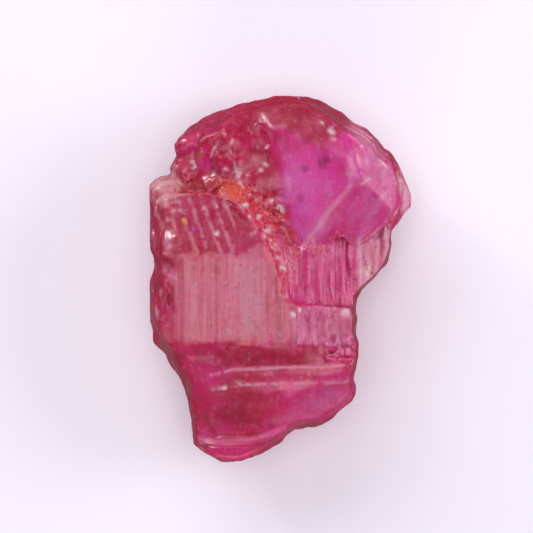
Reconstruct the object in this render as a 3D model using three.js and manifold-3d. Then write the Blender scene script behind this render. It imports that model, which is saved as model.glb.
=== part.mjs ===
// A rough ruby: one broken fragment of a crystal, lying on the flat parting plane at its back.
//
// Millimetres, +Z up. X runs across the stone, Y along it, and its best face looks up. The origin
// is under the middle of its bounding box. The stone is a lump lofted from its outline, on which
// the blocks of its upper face stand: a striated prism on the left, a smooth conchoidal lobe at the
// top right, a ribbed step on the right, a broken shoulder at the top left, and terraces that fall
// away to the lower tip. Parting faces and shell-shaped scoops are cut from its sides, and all of it
// is one solid.

import * as THREE from 'three';
import { LoftGeometry } from 'three/addons/geometries/LoftGeometry.js';
import { mergeVertices } from 'three/addons/utils/BufferGeometryUtils.js';
import Module from 'manifold-3d';

const wasm = await Module();
wasm.setup();

// Driving dimensions.
const SHOULDER = 4.9;      // height of the bed that carries the blocks
const CROWN = 7.1;         // height of the striated prism, the highest part
const BLOCK_FOOT = 3.0;    // how far down the blocks reach into the stone
const TALL = 12;           // longer than anything that it cuts or trims
const HEART = new THREE.Vector2(-0.75, 0.5); // the point from which the whole outline can be seen
const OUTLINE_STEPS = 108;

// The outline seen from above, anticlockwise from the top. Its two ends, where the stone was held,
// are guessed.
const outline = [
  [1.5, 9.1], [0.5, 9.2], [-0.75, 9.0], [-2.0, 8.7], [-3.2, 8.35], [-4.2, 7.9], [-5.05, 7.3],
  [-5.3, 6.8], [-5.15, 6.1], [-5.5, 5.6], [-5.4, 5.25], [-6.0, 5.1], [-6.35, 4.6], [-6.4, 4.1],
  [-6.35, 3.6], [-6.5, 2.5], [-6.45, 1.7], [-6.15, 1.1], [-6.2, 0.4], [-6.35, -0.3], [-6.4, -1.2],
  [-6.3, -2.1], [-6.05, -3.1], [-5.6, -3.6], [-5.45, -4.15], [-4.8, -5.1], [-4.5, -5.8],
  [-4.4, -7.2], [-4.25, -8.0], [-4.15, -8.5], [-3.3, -9.0], [-2.3, -9.15], [-1.6, -8.95],
  [-0.7, -8.4], [-0.1, -8.05], [0.7, -7.35], [1.5, -7.2], [2.15, -7.0], [2.8, -6.5], [3.5, -6.0],
  [3.6, -5.4], [3.5, -4.8], [3.85, -3.6], [3.65, -2.7], [3.75, -1.9], [3.65, -1.0], [3.85, -0.65],
  [4.75, 0.25], [5.25, 0.95], [5.4, 1.7], [5.45, 2.3], [5.9, 3.0], [6.4, 3.7], [6.5, 4.15],
  [6.15, 5.0], [5.65, 5.95], [5.05, 6.4], [4.85, 6.9], [4.4, 7.35], [3.6, 7.8], [2.4, 8.55],
];

// How the sides lean, as [bearing in degrees, value] pairs. Bearings are counted anticlockwise from
// +X. The right flake, at 10 to 30, is thin: its foot is deeply undercut and its edge lies high.
const footShare = [[10, 0.52], [30, 0.48], [70, 0.66], [130, 0.7], [190, 0.8], [260, 0.62], [310, 0.72]];
const waistHeight = [[10, 3.7], [30, 4.0], [70, 3.0], [130, 3.4], [190, 2.9], [260, 1.9], [310, 2.6]];
const crownShare = [[10, 0.86], [30, 0.88], [70, 0.88], [130, 0.86], [190, 0.92], [260, 0.9], [310, 0.94]];

// One of those lists, read at a bearing with smooth steps between its pairs.
function aroundStone(pairs, bearing) {
  const last = pairs[pairs.length - 1];
  const ring = [[last[0] - 360, last[1]], ...pairs, [pairs[0][0] + 360, pairs[0][1]]];
  const next = ring.findIndex(([angle]) => angle > bearing);
  const [fromAngle, fromValue] = ring[next - 1];
  const [toAngle, toValue] = ring[next];
  const share = THREE.MathUtils.smoothstep(bearing, fromAngle, toAngle);
  return THREE.MathUtils.lerp(fromValue, toValue, share);
}

// Everything irregular comes from this repeatable sequence of numbers from 0 to 1.
function makeDice(seed) {
  let state = seed;
  return () => {
    state = (state + 0x6d2b79f5) | 0;
    let mixed = Math.imul(state ^ (state >>> 15), 1 | state);
    mixed = (mixed + Math.imul(mixed ^ (mixed >>> 7), 61 | mixed)) ^ mixed;
    return ((mixed ^ (mixed >>> 14)) >>> 0) / 4294967296;
  };
}

function between(dice, low, high) {
  return low + (high - low) * dice();
}

// A closed three.js geometry as a solid that can be joined and cut.
function solidOf(geometry) {
  const bare = new THREE.BufferGeometry();
  bare.setAttribute('position', geometry.getAttribute('position'));
  bare.setIndex(geometry.getIndex());
  const merged = mergeVertices(bare, 1e-4);
  return new wasm.Manifold(new wasm.Mesh({
    numProp: 3,
    vertProperties: new Float32Array(merged.attributes.position.array),
    triVerts: new Uint32Array(merged.index.array),
  }));
}

function geometryOf(solid) {
  const mesh = solid.getMesh();
  const geometry = new THREE.BufferGeometry();
  geometry.setAttribute('position', new THREE.BufferAttribute(mesh.vertProperties, 3));
  geometry.setIndex(new THREE.BufferAttribute(mesh.triVerts, 1));
  geometry.computeVertexNormals();
  return geometry;
}

function joined(solids) {
  return solids.reduce((whole, piece) => whole.add(piece));
}

// The sides of the stone as level sections of its outline, drawn in towards the foot and the crown.
// Thin sheets have parted along them, so each sheet stands a little in or out of the next.
function sideSections() {
  const SHEETS_BELOW = 5;
  const SHEETS_ABOVE = 4;
  const OVERHANG = 0.024;  // share of the outline by which a sheet stands out
  const STEP = 0.3;        // share of a sheet's height that the step between two takes
  const rim = [...outline, outline[0]].map(([x, y]) => new THREE.Vector2(x, y));
  const edge = new THREE.SplineCurve(rim).getPoints(OUTLINE_STEPS).slice(0, -1);

  function section(share, height) {
    return edge.map((point) => {
      const arm = point.clone().sub(HEART);
      const bearing = THREE.MathUtils.radToDeg(arm.angle());
      arm.multiplyScalar(share(bearing)).add(HEART);
      return new THREE.Vector3(arm.x, arm.y, height(bearing));
    });
  }

  const sections = [];
  for (let row = 0; row <= 2 * SHEETS_BELOW; row += 1) {
    const rise = (Math.floor(row / 2) + (row % 2 ? STEP : 0)) / SHEETS_BELOW;
    const swell = Math.sin(Math.min(1, rise) * Math.PI / 2) ** 0.8;
    const step = row % 2 ? OVERHANG : -OVERHANG;
    sections.push(section(
      (bearing) => THREE.MathUtils.lerp(aroundStone(footShare, bearing), 1, swell)
        + step * (1.1 - swell) * Math.sin(THREE.MathUtils.degToRad(bearing * 2 + row * 40)) ** 2,
      (bearing) => rise * aroundStone(waistHeight, bearing),
    ));
  }
  for (let row = 1; row <= SHEETS_ABOVE; row += 1) {
    const rise = row / SHEETS_ABOVE;
    const draw = 1 - Math.cos(rise * Math.PI / 2);
    sections.push(section(
      (bearing) => THREE.MathUtils.lerp(1, aroundStone(crownShare, bearing), draw),
      (bearing) => THREE.MathUtils.lerp(aroundStone(waistHeight, bearing), CROWN + 0.3, rise),
    ));
  }
  return sections;
}

// The point of the sides that lies farthest towards a bearing, and that way as a direction. A
// positive tilt looks up and a negative one looks under the stone.
function farthestTowards(sections, bearing, tilt) {
  const WINDOW = 34;       // degrees to either side that are searched
  const turn = THREE.MathUtils.degToRad(bearing);
  const way = new THREE.Vector3(Math.cos(turn), Math.sin(turn), tilt).normalize();
  const seen = sections.flat().filter((point) => {
    const angle = THREE.MathUtils.radToDeg(Math.atan2(point.y - HEART.y, point.x - HEART.x));
    return Math.abs(THREE.MathUtils.euclideanModulo(angle - bearing + 180, 360) - 180) < WINDOW;
  });
  const point = seen.reduce((best, next) => (next.dot(way) > best.dot(way) ? next : best));
  return { point, way };
}

// Flat parting faces round the sides, as [bearing, tilt, depth of the slice that is gone].
function makeSideFaces(sections) {
  const FACES = [
    [350, -0.7, 0.3], [22, 0.5, 0.12], [52, -0.6, 0.4], [62, 0.6, 0.25], [88, -0.7, 0.45],
    [112, 0.35, 0.3], [128, -0.4, 0.4], [152, -0.8, 0.4], [168, 0.3, 0.15], [183, -0.5, 0.35],
    [203, 0.25, 0.12], [214, -0.7, 0.45], [236, 0.1, 0.25], [252, -1.0, 0.5], [281, -0.5, 0.35],
    [300, -1.0, 0.45], [322, 0.2, 0.15], [335, -0.6, 0.3],
  ];
  const WIDE = 5.5;
  return joined(FACES.map(([bearing, tilt, depth]) => {
    const { point, way } = farthestTowards(sections, bearing, tilt);
    const slice = new THREE.BoxGeometry(WIDE, WIDE, 2).translate(0, 0, 1 - depth);
    slice.applyQuaternion(new THREE.Quaternion().setFromUnitVectors(new THREE.Vector3(0, 0, 1), way));
    return solidOf(slice.translate(point.x, point.y, point.z));
  }));
}

// Broad shell-shaped scoops, where glassy flakes have sprung off the sides, as [bearing, tilt,
// radius of the scoop, its depth].
function makeScoops(sections) {
  const SCOOPS = [
    [6, -0.5, 3.2, 0.3], [40, -0.1, 3.6, 0.28], [72, 0.1, 4.5, 0.3], [100, -0.2, 3.8, 0.32],
    [140, 0.1, 3.0, 0.3], [172, -0.7, 4.0, 0.35], [192, 0.05, 3.0, 0.2], [226, -0.3, 3.6, 0.3],
    [246, 0.5, 3.0, 0.22], [268, -0.2, 2.6, 0.3], [292, 0.1, 3.2, 0.28], [312, -0.4, 3.8, 0.35],
    [338, -0.2, 4.2, 0.16],
  ];
  const ROUNDNESS = 7;
  return joined(SCOOPS.map(([bearing, tilt, radius, depth]) => {
    const { point, way } = farthestTowards(sections, bearing, tilt);
    const centre = point.clone().addScaledVector(way, radius - depth);
    const ball = new THREE.IcosahedronGeometry(radius, ROUNDNESS);
    return solidOf(ball.translate(centre.x, centre.y, centre.z));
  }));
}

// An upright column with this plan, which a block's upper faces then trim.
function column(plan, low = BLOCK_FOOT) {
  const shape = new THREE.Shape(plan.map(([x, y]) => new THREE.Vector2(x, y)));
  const geometry = new THREE.ExtrudeGeometry(shape, { depth: TALL - low, bevelEnabled: false });
  return solidOf(geometry.translate(0, 0, low));
}

// A plane is [x, y, height, rise along X, rise along Y]. This is how high the lowest of some is.
function heightUnder(planes, x, y) {
  return Math.min(...planes.map(([x0, y0, height, riseX, riseY]) => (
    height + riseX * (x - x0) + riseY * (y - y0)
  )));
}

// All that lies under a plane.
function under([x, y, height, riseX, riseY]) {
  const geometry = new THREE.BoxGeometry(4 * TALL, 4 * TALL, 2 * TALL).translate(0, 0, -TALL);
  const normal = new THREE.Vector3(-riseX, -riseY, 1).normalize();
  const turn = new THREE.Quaternion().setFromUnitVectors(new THREE.Vector3(0, 0, 1), normal);
  geometry.applyQuaternion(turn);
  return solidOf(geometry.translate(x, y, height));
}

function trimmed(block, planes) {
  return planes.reduce((left, plane) => left.intersect(under(plane)), block);
}

// All that lies under a striated face: a section of fine teeth across X, which runs along Y and
// rises by riseY from its height at y. crest gives that height at each X before the teeth are cut.
function underStriae({ from, to, crest, pitch, depth, y, riseY, seed }) {
  const dice = makeDice(seed);
  const shape = new THREE.Shape();
  shape.moveTo(from, 0);
  let x = from;
  let tooth = 0;
  while (x < to) {
    shape.lineTo(x, crest(x) - (tooth % 2 ? depth * between(dice, 0.4, 1) : 0));
    x += pitch * between(dice, 0.3, 0.8);
    tooth += 1;
  }
  shape.lineTo(to, crest(to));
  shape.lineTo(to, 0);
  shape.closePath();
  const geometry = new THREE.ExtrudeGeometry(shape, { depth: 2 * TALL, bevelEnabled: false });
  geometry.translate(0, 0, -TALL).rotateX(Math.PI / 2);
  const lean = new THREE.Matrix4().set(1, 0, 0, 0, 0, 1, 0, 0, 0, riseY, 1, -riseY * y, 0, 0, 0, 1);
  return solidOf(geometry.applyMatrix4(lean));
}

// The striated prism on the left. Its section is a flattened barrel. Along Y it has a rim that
// falls away to the top, the broad satin face, and a band that turns down below it.
function makePrism() {
  const plan = [
    [-7.0, -4.2], [-7.0, 2.9], [-6.3, 3.7], [-5.7, 4.1], [-4.8, 4.3], [-3.6, 4.35], [-2.6, 4.1],
    [-1.9, 3.6], [-1.3, 2.9], [-0.8, 2.1], [-0.35, 1.2], [-0.05, 0.2], [0.15, -1.0], [1.0, -1.2],
    [1.0, -4.2],
  ];
  const FLAT = -2.8;       // where the barrel is highest
  const HALF_WIDTH = 3.6;
  const LEFT_FALL = 1.6;   // how far its left shoulder drops
  const RIGHT_FALL = 0.25;
  const barrel = (x) => {
    const share = Math.min(1, Math.abs(x - FLAT) / HALF_WIDTH);
    return CROWN - (x < FLAT ? LEFT_FALL * share ** 6 : RIGHT_FALL * share ** 2);
  };
  const face = { from: -7.1, to: 1.2, crest: barrel, pitch: 0.42 };
  return column(plan)
    .intersect(underStriae({ ...face, depth: 0.07, y: -1.0, riseY: 0.035, seed: 11 }))
    .intersect(underStriae({ ...face, depth: 0.12, y: 1.3, riseY: -0.3, seed: 12 }))
    .intersect(underStriae({ ...face, depth: 0.1, y: 2.6, riseY: -0.75, seed: 13 }))
    .intersect(under([0, -3.1, CROWN - 0.1, 0.0, 0.42]));
}

// The step on the right, level with the satin face and ribbed as it is, and the broken ribs above it.
function makeStep() {
  const stepPlan = [[0.6, -1.15], [1.4, -1.22], [2.6, -1.3], [4.2, -1.42], [4.2, -4.2], [0.6, -4.2]];
  const step = column(stepPlan)
    .intersect(underStriae({
      from: 0.4, to: 4.4, crest: (x) => CROWN - 0.4 - 0.09 * (x - 0.8) ** 2,
      pitch: 0.62, depth: 0.16, y: -2.4, riseY: 0.02, seed: 23,
    }))
    .intersect(under([2, -3.3, CROWN - 0.55, -0.05, 0.12]));
  const ribsPlan = [
    [0.0, 1.9], [1.0, 1.5], [1.9, 2.0], [2.9, 2.3], [4.2, 1.9], [4.2, -1.6], [0.0, -1.6],
  ];
  const ribs = column(ribsPlan).intersect(underStriae({
    from: -0.2, to: 4.4, crest: (x) => CROWN - 1.05 - 0.06 * x * x,
    pitch: 0.5, depth: 0.3, y: 0.3, riseY: -0.06, seed: 31,
  }));
  return step.add(ribs);
}

// The smooth lobe at the top right: two glassy faces that meet in a diagonal crease, rounded over
// by a broad shell-shaped fracture, with a bevel along its upper edge.
function makeLobe() {
  const plan = [
    [1.5, 9.5], [-1.8, 9.5], [-1.3, 8.2], [-0.5, 7.0], [-0.15, 5.4], [-0.1, 3.6], [0.35, 2.2],
    [0.95, 1.35], [2.0, 1.75], [3.1, 2.15], [3.8, 1.75], [4.7, 2.4], [5.45, 3.05], [5.85, 3.9],
    [5.8, 4.9], [5.4, 5.85], [4.95, 6.5], [4.9, 7.5], [3.4, 9.0],
  ];
  const ROUND = 8.2;       // radius of the rounded fracture
  const dome = solidOf(new THREE.IcosahedronGeometry(ROUND, 10).translate(2.4, 4.3, CROWN - 0.05 - ROUND));
  return trimmed(column(plan), [
    [2.3, 2.95, 6.05, 0.28, 0.16], [2.3, 2.95, 6.05, -0.05, 0.42], [3.7, 6.0, 6.8, -0.7, -0.2],
    [1.0, 8.0, 6.1, 0.12, -0.25],
  ]).intersect(dome);
}

// The dark broken shoulder at the top left, and the bed of the seam below it.
const shoulderPlanes = [
  [-1.0, 5.6, 5.62, -0.05, -0.24], [-3.2, 5.6, 5.4, 0.36, -0.1], [-1.6, 4.2, 5.45, 0.08, 0.16],
];

function makeShoulder() {
  const plan = [[1.1, 9.5], [-7.0, 9.5], [-7.0, 5.4], [-4.6, 4.2], [-1.5, 2.4], [1.1, 1.0]];
  return trimmed(column(plan), shoulderPlanes);
}

// Broken corners of the crystal, packed side by side over the shoulder and down the seam between
// the prism and the lobe. Each is a block that keeps the crystal's own direction, give or take a
// little, and shows one tilted face or corner.
function makeBrokenCorners() {
  const dice = makeDice(8);
  const SPACING = 0.78;
  const GRAIN = 0.45;      // radians from +X to the crystal's own direction
  const TILT = 0.42;
  const SEAM_TOP = 2.4;    // the seam's middle crosses X = 0 here, and falls by its slope to the right
  const SEAM_SLOPE = -0.72;
  const SEAM_WIDTH = 1.5;
  const corners = [];
  for (let row = -8; row < 12; row += 1) {
    for (let column = -8; column < 12; column += 1) {
      const gridX = column * SPACING + between(dice, -0.25, 0.25);
      const gridY = row * SPACING + between(dice, -0.25, 0.25);
      const x = gridX * Math.cos(GRAIN) - gridY * Math.sin(GRAIN) - 2.2;
      const y = gridX * Math.sin(GRAIN) + gridY * Math.cos(GRAIN) + 5.0;
      const size = SPACING * between(dice, 0.8, 1.9);
      const long = size * between(dice, 0.6, 1.2);
      const turns = [between(dice, -TILT, TILT), between(dice, -TILT, TILT), between(dice, -0.3, 0.3)];
      const proud = between(dice, 0.0, 0.2);
      const aboveSeam = y - (SEAM_TOP + SEAM_SLOPE * x);
      const onShoulder = aboveSeam > 0 && x > -5.4 && x < 0.1;
      const onSeam = Math.abs(aboveSeam) < SEAM_WIDTH / 2 && x > -1.5 && x < 1.1;
      if (!onShoulder && !onSeam) continue;
      const block = new THREE.BoxGeometry(size, long, 1.6).translate(0, 0, -0.8);
      block.rotateX(turns[0]).rotateY(turns[1]).rotateZ(GRAIN + turns[2]);
      block.translate(x, y, heightUnder(shoulderPlanes, x, y) + proud);
      corners.push(solidOf(block));
    }
  }
  return joined(corners);
}

// The terraces below the prism. Two thin sheets lie on the bed like wedges: each is thick at the
// right and runs out to nothing at the left. A sheet begins in a narrow bevel that faces back up the
// stone, so two bright ledges cross it. Below them all falls away to the tip.
function makeTerraces() {
  const BED = [0, -4.1, CROWN - 0.53, -0.03, 0.28];
  const BED_END = -3.8;    // the bed comes out from under the prism and the step here
  const WEDGE_REACH = 3.5; // a sheet has its full thickness this far to the right of the middle
  const BEVEL = 1.03;      // how much steeper than its sheet a bevel is
  const TIP = [
    [-5.0, -4.2, 6.5, 0.35, 0.45], [1.8, -6.6, 5.5, -0.3, 0.7], [-2.2, -7.9, 5.35, 0.02, 1.25],
  ];

  function sheetOn([x, y, height, riseX, riseY], thickness, ledgeY, ledgeSlope) {
    const top = [x, y, height + thickness / 2, riseX + thickness / 2 / WEDGE_REACH, riseY];
    const foot = heightUnder([[x, y, height, riseX, riseY]], 0, ledgeY);
    const bevel = [0, ledgeY, foot, riseX + BEVEL * ledgeSlope, riseY - BEVEL];
    const plan = [[-7, ledgeY + 1], [-7, -9.5], [5, -9.5], [5, ledgeY + 1]];
    return { top, solid: trimmed(column(plan), [top, bevel]) };
  }

  const bed = trimmed(column([[-7, BED_END], [-7, -9.5], [5, -9.5], [5, BED_END]]), [BED]);
  const upper = sheetOn(BED, 0.22, -4.35, 0.035);
  const lower = sheetOn(upper.top, 0.22, -5.15, 0.03);
  return trimmed(joined([bed, upper.solid, lower.solid]), TIP);
}

// Thin pieces at the rim that let the light through: the flake on the right, the tip above it, and
// the rounded bumps on the left.
function makeFlakes() {
  const flake = column([[3.5, 2.1], [4.6, 2.6], [6.0, 2.9], [6.0, -1.2], [3.5, -1.2]], 3.4)
    .intersect(underStriae({
      from: 3.3, to: 6.1, crest: (x) => 5.5 - 0.4 * (x - 3.5),
      pitch: 0.45, depth: 0.2, y: 1.0, riseY: 0.12, seed: 47,
    }));
  const tip = trimmed(
    column([[5.2, 5.2], [5.4, 7.0], [7.0, 6.0], [7.0, 2.4], [5.5, 2.4], [5.1, 3.6]], 3.6),
    [[5.8, 4.2, 5.0, -0.45, 0.06]],
  );
  const bump = (x, y, height, wide, long, high, turn) => solidOf(
    new THREE.IcosahedronGeometry(1, 2).rotateX(turn).scale(wide, long, high).rotateZ(turn)
      .translate(x, y, height),
  );
  return joined([
    flake, tip,
    bump(-5.5, 4.35, 4.3, 0.85, 0.95, 0.95, 0.2),
    bump(-4.95, 5.55, 4.6, 0.45, 0.4, 0.55, 0.9),
    bump(-4.55, 6.75, 4.6, 0.85, 0.6, 0.65, 0.5),
  ]);
}

const sections = sideSections();
const envelope = solidOf(new LoftGeometry(sections, { capStart: true, capEnd: true }));
const bed = solidOf(new THREE.BoxGeometry(4 * TALL, 4 * TALL, 2 * SHOULDER));
const blocks = joined([
  bed, makePrism(), makeStep(), makeLobe(), makeShoulder(), makeBrokenCorners(), makeTerraces(),
  makeFlakes(),
]);
const stone = envelope.intersect(blocks).subtract(makeSideFaces(sections)).subtract(makeScoops(sections));

const ruby = new THREE.Mesh(
  geometryOf(stone),
  new THREE.MeshStandardMaterial({ color: 0xb0204f, roughness: 0.25, metalness: 0 }),
);
ruby.name = 'ruby';

ruby.geometry.computeBoundingBox();
const { min, max } = ruby.geometry.boundingBox;
ruby.position.set(-(min.x + max.x) / 2, -(min.y + max.y) / 2, -min.z);

const group = new THREE.Group();
group.add(ruby);

export default group;
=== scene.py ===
import itertools
import math

import bpy
import numpy as np
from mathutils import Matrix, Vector


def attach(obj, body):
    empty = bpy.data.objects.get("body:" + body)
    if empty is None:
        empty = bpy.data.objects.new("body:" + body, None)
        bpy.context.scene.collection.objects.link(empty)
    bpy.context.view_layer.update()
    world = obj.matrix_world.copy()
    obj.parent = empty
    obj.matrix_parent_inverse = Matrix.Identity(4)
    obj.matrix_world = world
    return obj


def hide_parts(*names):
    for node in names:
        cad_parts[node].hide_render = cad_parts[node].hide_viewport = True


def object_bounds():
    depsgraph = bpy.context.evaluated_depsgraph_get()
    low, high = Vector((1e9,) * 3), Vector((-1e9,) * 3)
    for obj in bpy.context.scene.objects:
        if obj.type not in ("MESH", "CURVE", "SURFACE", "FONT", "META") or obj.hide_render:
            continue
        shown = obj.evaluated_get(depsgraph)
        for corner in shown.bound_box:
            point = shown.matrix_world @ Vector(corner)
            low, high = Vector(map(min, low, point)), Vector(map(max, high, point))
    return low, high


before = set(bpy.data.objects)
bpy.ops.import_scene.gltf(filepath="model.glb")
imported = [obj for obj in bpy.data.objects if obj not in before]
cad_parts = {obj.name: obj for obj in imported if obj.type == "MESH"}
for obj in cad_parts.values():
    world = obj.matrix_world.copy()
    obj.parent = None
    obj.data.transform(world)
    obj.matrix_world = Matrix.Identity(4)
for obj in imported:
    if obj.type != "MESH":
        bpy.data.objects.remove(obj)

cad_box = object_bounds()


# The camera looks straight down on the stone, with the top of the picture towards +Y. It stands
# 200 mm above the widest level of the stone, with the frame as wide as VIEW_WIDTH there.
MM = 0.001
VIEW_WIDTH = 26.65 * MM
VIEW_CENTRE = Vector((-0.67, 0.64, 3.2)) * MM
CAMERA_DISTANCE = 200 * MM

camera_data = bpy.data.cameras.new("camera")
camera_data.lens = camera_data.sensor_width * CAMERA_DISTANCE / VIEW_WIDTH
camera_data.clip_start = 10 * MM
camera_data.clip_end = 10
camera = bpy.data.objects.new("camera", camera_data)
camera.location = VIEW_CENTRE + Vector((0, 0, CAMERA_DISTANCE))
bpy.context.scene.collection.objects.link(camera)
bpy.context.scene.camera = camera
bpy.context.scene.view_settings.view_transform = "Standard"


# The light is plain and soft. Four softboxes only fill in, and aren't mirrored in the stone, so that
# no face has the hard outline of one. What it mirrors is two small low lamps, for glints, four slim
# upright lamps all round, and a room with a pale horizon and a ceiling that brightens to its middle.
ON_THE_STONE = (0, 0, 0)
SLIM_LAMP_FEET = [(-0.36, 0.2), (0.22, 0.36), (0.4, -0.12), (-0.14, -0.4)]
SLIM_LAMP_LEVEL = 0.1     # m from the floor to their middles


def add_light(name, place, aim, size, power, mirrored=False):
    """Adds a flat light: its place, aim, width and height in metres, and its power in watts."""
    data = bpy.data.lights.new(name, "AREA")
    data.shape = "RECTANGLE"
    data.size, data.size_y = size
    data.energy = power
    light = bpy.data.objects.new(name, data)
    light.location = place
    light.rotation_euler = (Vector(aim) - Vector(place)).to_track_quat("-Z", "Y").to_euler()
    light.visible_glossy = mirrored
    bpy.context.scene.collection.objects.link(light)


add_light("overhead_panel", (0, 0, 0.42), ON_THE_STONE, (0.28, 0.28), 0.54)
add_light("key_softbox", (-0.16, 0.36, 0.28), ON_THE_STONE, (0.44, 0.3), 1.2)
add_light("right_softbox", (0.42, 0.05, 0.2), ON_THE_STONE, (0.2, 0.3), 0.88)
add_light("near_softbox", (-0.04, -0.4, 0.14), ON_THE_STONE, (0.3, 0.12), 0.52)
add_light("far_lamp", (-0.3, 0.28, 0.16), ON_THE_STONE, (0.05, 0.05), 0.25, mirrored=True)
add_light("right_lamp", (0.36, 0.2, 0.13), ON_THE_STONE, (0.05, 0.05), 0.13, mirrored=True)
for number, foot in enumerate(SLIM_LAMP_FEET):
    add_light(
        f"slim_lamp_{number}", (*foot, SLIM_LAMP_LEVEL), (0, 0, SLIM_LAMP_LEVEL), (0.025, 0.22), 0.12,
        mirrored=True,
    )

# How bright the room is towards each level, from -1 straight down to 1 straight up.
ROOM_LIGHT = {-0.1: 0.18, -0.03: 0.9, 0.05: 0.9, 0.2: 0.14, 0.8: 0.15, 0.93: 0.38, 1.0: 0.8}
ROOM_TINT = (1, 0.92, 1.03)

world = bpy.data.worlds.new("pale_room")
world.use_nodes = True
bpy.context.scene.world = world
room = world.node_tree.nodes
room_links = world.node_tree.links
room_direction = room.new("ShaderNodeTexCoord")
room_height = room.new("ShaderNodeSeparateXYZ")
room_level = room.new("ShaderNodeMapRange")
room_level.inputs["From Min"].default_value = -1
room_shade = room.new("ShaderNodeValToRGB")
for direction, brightness in ROOM_LIGHT.items():
    level = room_shade.color_ramp.elements.new((direction + 1) / 2)
    level.color = (*(part * brightness for part in ROOM_TINT), 1)
room_shade.color_ramp.elements.remove(room_shade.color_ramp.elements[0])
room_shade.color_ramp.elements.remove(room_shade.color_ramp.elements[-1])
room_links.new(room_direction.outputs["Generated"], room_height.inputs[0])
room_links.new(room_height.outputs["Z"], room_level.inputs["Value"])
room_links.new(room_level.outputs["Result"], room_shade.inputs["Fac"])
room_links.new(room_shade.outputs["Color"], room["Background"].inputs["Color"])


# The floor is a plain pale sheet, a hair below the level on which the stone rests. Like the
# softboxes it isn't mirrored in the stone, whose steep sides would be veiled by it.
FLOOR_GAP = 0.01 * MM
FLOOR_SIZE = 1
FLOOR_COLOUR = (0.87, 0.82, 0.91, 1)
bpy.ops.object.select_all(action="DESELECT")
bpy.ops.mesh.primitive_plane_add(size=FLOOR_SIZE, location=(0, 0, -FLOOR_GAP))
floor = bpy.context.object
floor.name = "floor"
bpy.ops.object.transform_apply(location=True)
floor_paint = bpy.data.materials.new("pale_floor")
floor_paint.use_nodes = True
floor_shader = floor_paint.node_tree.nodes["Principled BSDF"]
floor_shader.inputs["Base Color"].default_value = FLOOR_COLOUR
floor_shader.inputs["Roughness"].default_value = 0.9
floor_shader.inputs["Specular IOR Level"].default_value = 0.1
floor.data.materials.append(floor_paint)
floor.visible_glossy = False


# The fragment: one piece of ruby crystal, broken off and never cut or polished. It starts as a copy
# of its solid, worked in millimetres on an even fine mesh, so that every break and line below can
# be carved into it. Its flat underside stays as it is.
SAME_POINT = 0.001 * MM
GRAIN = 0.05              # side of the even mesh's squares, in mm
stone = bpy.data.objects.new("rough_ruby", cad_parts["ruby"].data.copy())
bpy.context.scene.collection.objects.link(stone)
bpy.ops.object.select_all(action="DESELECT")
bpy.context.view_layer.objects.active = stone
stone.select_set(True)
stone.data.materials.clear()
bpy.ops.object.mode_set(mode="EDIT")
bpy.ops.mesh.customdata_custom_splitnormals_clear()
bpy.ops.mesh.select_all(action="SELECT")
bpy.ops.mesh.remove_doubles(threshold=SAME_POINT)
bpy.ops.object.mode_set(mode="OBJECT")
stone.scale = (1 / MM, 1 / MM, 1 / MM)
bpy.ops.object.transform_apply(scale=True)


def shape(kind, **settings):
    """Adds a modifier with these settings to the stone, and applies it."""
    modifier = stone.modifiers.new(kind.lower(), kind)
    for name, value in settings.items():
        setattr(modifier, name, value)
    bpy.ops.object.modifier_apply(modifier=modifier.name)


shape("REMESH", mode="VOXEL", voxel_size=GRAIN)


# Crumbs of the broken crystal have banked up in the corner at the foot of the prism's right-hand
# wall. They are raised first, and the mesh is made even again with them in it.
FOOT_OF_WALL = [
    (-2.3, 3.8), (-1.75, 3.2), (-1.1, 2.3), (-0.6, 1.45), (-0.1, 0.4), (0.12, -0.5), (0.35, -1.0),
]
TOP_OF_BANK = 6.75
BANK_FALL = 1.2           # mm that the bank falls away in each mm from the wall
BANK_FOOT = 3             # mm above the floor: nothing lower is banked up


def rows_of(kind):
    """The stone's points, or the directions that they face, as rows of x, y and z."""
    values = np.empty(len(stone.data.vertices) * 3)
    if kind == "place":
        stone.data.vertices.foreach_get("co", values)
    else:
        stone.data.vertex_normals.foreach_get("vector", values)
    return values.reshape(-1, 3)


def gap_to(line):
    """How far each point is from a line of corners, seen from above."""
    x, y = place[:, 0], place[:, 1]
    nearest = np.full(len(place), np.inf)
    for (x0, y0), (x1, y1) in zip(line, line[1:]):
        along = ((x - x0) * (x1 - x0) + (y - y0) * (y1 - y0)) / ((x1 - x0) ** 2 + (y1 - y0) ** 2)
        along = np.clip(along, 0, 1)
        nearest = np.minimum(nearest, np.hypot(x - x0 - along * (x1 - x0), y - y0 - along * (y1 - y0)))
    return nearest


place = rows_of("place")
bank = TOP_OF_BANK - BANK_FALL * gap_to(FOOT_OF_WALL)
place[:, 2] = np.where(place[:, 2] > BANK_FOOT, np.maximum(place[:, 2], bank), place[:, 2])
stone.data.vertices.foreach_set("co", place.ravel())
stone.data.update()
shape("REMESH", mode="VOXEL", voxel_size=GRAIN)
shape("SMOOTH", factor=0.5, iterations=3)

place = rows_of("place")
facing = rows_of("facing")


# The sides and the back: shell-shaped scoops that meet in low ridges, crossed by level parting lines
# where thin sheets have split off. Small chips have gone from the edges, so the outline is scalloped.
SHEET = 0.7               # mm from one parting line to the next, on the average
HOLLOW = 1.6              # how deep the scoops are for their size
CELL_MIXER = np.array((73856093, 19349663, 83492791))
SEED_MIXER = 1013904223   # both stir the cells and the seeds into random numbers
INNER_PLAN = [            # inside this, walls are no part of the sides
    (-5.3, 3.0), (-5.2, 5.0), (-4.9, 6.6), (-3.6, 7.6), (-1.0, 8.3), (1.0, 8.2), (3.5, 6.5),
    (4.5, 4.5), (3.2, 2.0), (3.2, -3.0), (2.8, -5.5), (0.0, -7.0), (-3.0, -7.0), (-4.6, -3.0), (-5.2, 0.0),
]


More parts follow.
